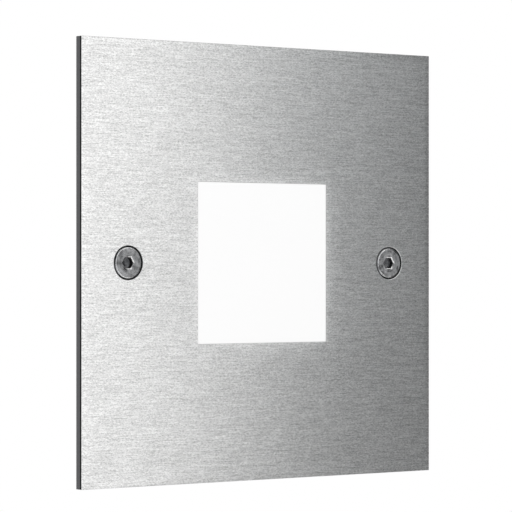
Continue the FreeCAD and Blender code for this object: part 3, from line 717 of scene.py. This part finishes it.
stud_across = 9.0 * mm
stud_up = 24.2 * mm
stud_foot_radius = 1.8 * mm
stud_foot_back = -0.5 * mm
stud_foot_chamfer = 0.1 * mm
stud_radius = 1.25 * mm
stud_root_radius = 1.02 * mm
stud_pitch = 0.45 * mm
stud_shank_end = 2.3 * mm
stud_runout = 0.15 * mm
stud_end = 5.8 * mm
stud_tip_length = 0.2 * mm
stud_tip_inset = 0.17 * mm
ridge_root = stud_root_radius - 0.04 * mm
ridge_start = stud_shank_end + 0.1 * mm
ridge_end = stud_end - 0.05 * mm
stud_outline = (
    (stud_foot_radius, plate_back), (stud_foot_radius, stud_foot_back - stud_foot_chamfer),
    (stud_foot_radius - stud_foot_chamfer, stud_foot_back), (stud_radius, stud_foot_back),
    (stud_radius, stud_shank_end), (stud_root_radius, stud_shank_end + stud_runout),
    (stud_root_radius, stud_end - stud_tip_length), (stud_root_radius - stud_tip_inset, stud_end),
)
stud_parts = []
for place in ((x, z) for x in (-stud_across, stud_across) for z in (-stud_up, stud_up)):
    stud_parts.append(turned_bar("stud", stud_outline, place, vertices=32))
    stud_parts.append(thread_ridge(
        "stud_thread", ridge_root, stud_radius, stud_pitch, ridge_start, ridge_end, place))
studs = joined("threaded_studs", stud_parts)
smooth(studs)
place_piece(studs, plain_stainless, "fasteners", "plate_studs")
for node in ("stud_washers", "stud_nuts"):
    rounded = rounded_copy(node + "_rounded", node, 0.08 * mm)
    place_piece(rounded, plain_stainless, "fasteners", node)

# ---------------------------------------------------------------------------------------------------------
# Plate screws: turned stainless M3 with a countersunk head and a hexagon socket, and with turning marks on
# the head. The thin neck lets each one back out of the wall box while a nylon washer still holds it.
head_radius = 3.0 * mm
head_face = -2.6 * mm
crown = head_face - 0.08 * mm
rim_steps = ((0.38, 0.0), (0.33, 0.01), (0.29, 0.03), (0.20, 0.11), (0.13, 0.19))  # inwards, below crown
rim_start = head_radius - rim_steps[0][0] * mm
rim_end = head_radius - 0.28 * mm
rim_depth = 0.05 * mm
neck_radius = 1.2 * mm
head_back = head_face + head_radius - neck_radius
plain_start = head_face + 0.3 * mm
thread_radius = 1.5 * mm
thread_pitch = 0.5 * mm
thread_start = 3.9 * mm
thread_end = 9.1 * mm
thread_root = neck_radius - 0.05 * mm
core_radius = neck_radius + 0.02 * mm
core_start = thread_start + 0.1 * mm
screw_tip = 9.4 * mm
tip_radius = 0.9 * mm
head_edge_round = 0.05 * mm
socket_width = 2.0 * mm
socket_depth = 1.1 * mm
socket_reach = 1.12 * mm
mouth_chamfer = 0.16 * mm
drill_inset = 0.12 * mm
drill_point = 0.4 * mm
mouth_start = 0.01 * mm
socket_end = 1.6 * mm
ring_share = 0.5

turning_marks, given, position = shader_group(
    "turning_marks", "Distance", "Rings", "Scale", "Contrast", "Detail")
axes = turning_marks.nodes.new("ShaderNodeSeparateXYZ")
turning_marks.links.new(position, axes.inputs[0])
across = step(turning_marks, "ABSOLUTE", axes.outputs["X"])
from_axis = turning_marks.nodes.new("ShaderNodeCombineXYZ")
turning_marks.links.new(step(turning_marks, "SUBTRACT", across, given["Distance"]), from_axis.inputs["X"])
turning_marks.links.new(axes.outputs["Z"], from_axis.inputs["Z"])
from_centre = step(turning_marks, "LENGTH", from_axis.outputs[0], kind="ShaderNodeVectorMath")
rings = turning_marks.nodes.new("ShaderNodeCombineXYZ")
turning_marks.links.new(step(turning_marks, "MULTIPLY", from_centre, given["Rings"]), rings.inputs["X"])
grain = step(turning_marks, "SCALE", position, kind="ShaderNodeVectorMath")
turning_marks.links.new(given["Scale"], grain.node.inputs["Scale"])
slow_grain = step(turning_marks, "MULTIPLY", grain, (0.25, 0.25, 0.25), kind="ShaderNodeVectorMath")
uneven_rings = step(turning_marks, "ADD", rings.outputs[0], slow_grain, kind="ShaderNodeVectorMath")
height = two_noises(turning_marks, uneven_rings, grain, ring_share, given["Detail"])
give_outputs(turning_marks, height, given["Contrast"])

marks = {"Distance": screw_place, "Rings": 8000.0, "Scale": 1300.0, "Contrast": 6.0, "Detail": 2.0}
turned_steel = finish_of(
    "turned_steel", (0.33, 0.33, 0.335), 0.40, metallic=1.0, spread=0.3, relief=0.12 * mm,
    group=turning_marks, texture=marks,
)
# Painted shade: a dark copy of the screw steel for the socket's inside.
socket_painted_shade = finish_of(
    "socket_painted_shade", (0.15, 0.15, 0.155), 0.4, metallic=1.0, spread=0.2, relief=0.01 * mm,
    group=turning_marks, texture=marks,
)
# Painted highlight: a bright copy of the screw steel for the socket's mouth chamfer and the head's rim.
rim_painted_highlight = finish_of(
    "rim_painted_highlight", (0.78, 0.78, 0.78), 0.2, metallic=1.0, spread=0.1, relief=0.006 * mm,
    group=turning_marks, texture=marks,
)
nylon = finish_of(
    "natural_nylon", (0.85, 0.83, 0.76), 0.45, spread=0.1,
    texture={"Scale": 600.0, "Contrast": 0.08, "Detail": 3.0},
)
screw_outline = [(head_radius - inwards * mm, crown + below * mm) for inwards, below in rim_steps] + [
    (neck_radius, head_back), (neck_radius, thread_start), (core_radius, core_start),
    (core_radius, thread_end), (tip_radius, screw_tip),
]
for side_name, side in (("left", -1), ("right", 1)):
    x = side * screw_place
    shank = turned_bar("shank", screw_outline, (x, 0), vertices=64)
    bpy.ops.object.select_all(action="DESELECT")
    bpy.ops.mesh.primitive_cylinder_add(
        vertices=6, radius=socket_width / math.sqrt(3), depth=socket_depth - mouth_chamfer,
        location=(x, crown + (socket_depth + mouth_chamfer) / 2, 0),
        rotation=(-math.pi / 2, math.pi / 6, 0),
    )
    socket = bpy.context.active_object
    bpy.ops.object.transform_apply(location=True, rotation=True, scale=True)
    bpy.ops.object.mode_set(mode="EDIT")
    pick(socket, "FACE", lambda face: face.normal.y < -0.9)
    bpy.ops.mesh.extrude_region_move(TRANSFORM_OT_translate={"value": (0, -3 * mouth_chamfer, 0)})
    wider = 1 + 6 * mouth_chamfer / socket_width
    bpy.ops.transform.resize(value=(wider, 1, wider), center_override=(x, crown - 2 * mouth_chamfer, 0))
    pick(socket, "FACE", lambda face: face.normal.y > 0.9)
    bpy.ops.mesh.inset(thickness=drill_inset)
    bpy.ops.mesh.extrude_region_move(TRANSFORM_OT_translate={"value": (0, drill_point, 0)})
    drill_tip = (x, crown + socket_depth + drill_point, 0)
    bpy.ops.transform.resize(value=(0.1, 1, 0.1), center_override=drill_tip)
    bpy.ops.object.mode_set(mode="OBJECT")
    apply_modifier(shank, "BOOLEAN", object=socket, operation="DIFFERENCE", solver="EXACT")
    bpy.data.objects.remove(socket)
    apply_modifier(shank, "BEVEL", width=head_edge_round, segments=2, limit_method="ANGLE",
                   angle_limit=math.radians(50), use_clamp_overlap=True)
    ridge = thread_ridge(
        "screw_thread", thread_root, thread_radius, thread_pitch, thread_start, thread_end, (x, 0))
    screw = joined(f"{side_name}_countersunk_screw", [shank, ridge])
    smooth(screw, 40.0)
    place_piece(screw, turned_steel, "plate_screws", f"{side_name}_plate_screw",
                body=f"{side_name}_screw")
    for material in (socket_painted_shade, rim_painted_highlight, plain_stainless):
        screw.data.materials.append(material)
    for face in screw.data.polygons:
        reach = math.hypot(face.center.x - x, face.center.z)
        below_crown = face.center.y - crown
        # The socket's inside gets the painted shade.
        if reach < socket_reach and mouth_chamfer < below_crown < socket_end:
            face.material_index = 1
        # The socket's mouth chamfer and the head's rim get the painted highlight.
        elif reach < socket_reach + mouth_chamfer and mouth_start < below_crown < socket_end:
            face.material_index = 2
        elif rim_start < reach < rim_end and 0 < below_crown < rim_depth:
            face.material_index = 2
        elif face.center.y > plain_start:
            face.material_index = 3
    washer = rounded_copy(f"{side_name}_nylon_washer", f"{side_name}_screw_washer", 0.08 * mm)
    place_piece(washer, nylon, "natural_nylon", f"{side_name}_screw_washer", body=f"{side_name}_washer")

# ---------------------------------------------------------------------------------------------------------
# Driver board: glass-fibre board with green solder mask, held by two screws behind the housing's floor. It
# carries a ferrite coil, a capacitor in a drawn aluminium can and four flat moulded components.
green_mask = finish_of(
    "green_mask", (0.05, 0.22, 0.10), 0.3, spread=0.1,
    texture={"Scale": 400.0, "Contrast": 0.3, "Detail": 3.0},
)
dress("driver_board", green_mask)
ferrite = finish_of(
    "ferrite", (0.09, 0.085, 0.085), 0.6, spread=0.15, relief=0.02 * mm,
    texture={"Scale": 2500.0, "Contrast": 0.4, "Detail": 3.0},
)
dress("driver_coil", ferrite)
drawn_can = finish_of(
    "drawn_can", (0.70, 0.70, 0.72), 0.3, metallic=1.0, spread=0.1,
    texture={"Scale": 900.0, "Contrast": 0.12, "Detail": 3.0},
)
dress("driver_capacitor", drawn_can)
chip_plastic = finish_of(
    "chip_plastic", (0.05, 0.05, 0.055), 0.5, spread=0.1, relief=0.005 * mm,
    texture={"Scale": 4000.0, "Contrast": 0.3, "Detail": 2.0},
)
dress("driver_chips", chip_plastic)

# ---------------------------------------------------------------------------------------------------------
# Terminal block: a grey moulding on the driver board, with two brass cages in which slotted screws clamp
# the cable's wires.
terminal_plastic = finish_of(
    "terminal_plastic", (0.40, 0.42, 0.43), 0.5, spread=0.12, relief=0.01 * mm,
    texture={"Scale": 1500.0, "Contrast": 0.12, "Detail": 3.0},
)
dress("terminal_block", terminal_plastic)
cage_brass = finish_of(
    "cage_brass", (0.72, 0.56, 0.28), 0.35, metallic=1.0, spread=0.14,
    texture={"Scale": 1500.0, "Contrast": 0.2, "Detail": 3.0},
)
dress("terminal_clamps", cage_brass)
dress("terminal_screws", plain_stainless)

# ---------------------------------------------------------------------------------------------------------
# Rear cover: a black moulding with a fine spark-eroded texture. It closes the driver's chamber on a flat
# silicone seal and is held by four screws.
cover_seal = rounded_copy("cover_seal_sheet", "rear_cover_seal", 0.1 * mm)
place_piece(cover_seal, seal_silicone, "silicone", "rear_cover_seal")
black_moulding = finish_of(
    "black_moulding", (0.045, 0.045, 0.05), 0.5, spread=0.16, relief=0.09 * mm,
    texture={"Scale": 3200.0, "Contrast": 0.35, "Detail": 3.0},
)
cover = rounded_copy("moulded_rear_cover", "rear_cover", 0.12 * mm)
place_piece(cover, black_moulding, "black_plastic", "rear_cover")

# ---------------------------------------------------------------------------------------------------------
# Cable gland: a black nylon body with a hexagon collar, locked inside the cover by a nut. Its cap nut
# presses a rubber sleeve onto the cable.
gland_nylon = finish_of(
    "gland_nylon", (0.04, 0.04, 0.043), 0.4, spread=0.12, relief=0.02 * mm,
    texture={"Scale": 1800.0, "Contrast": 0.25, "Detail": 3.0},
)
for node in ("gland_locknut", "gland_body", "gland_nut"):
    moulded = rounded_copy(node + "_moulded", node, 0.15 * mm)
    place_piece(moulded, gland_nylon, "black_plastic", node)
sleeve_rubber = finish_of(
    "sleeve_rubber", (0.08, 0.08, 0.08), 0.7, spread=0.12, relief=0.02 * mm,
    texture={"Scale": 1600.0, "Contrast": 0.3, "Detail": 3.0},
)
for node in ("gland_washer", "gland_seal"):
    rubber = rounded_copy(node + "_rubber", node, 0.1 * mm)
    place_piece(rubber, sleeve_rubber, "gland_rubber", node)
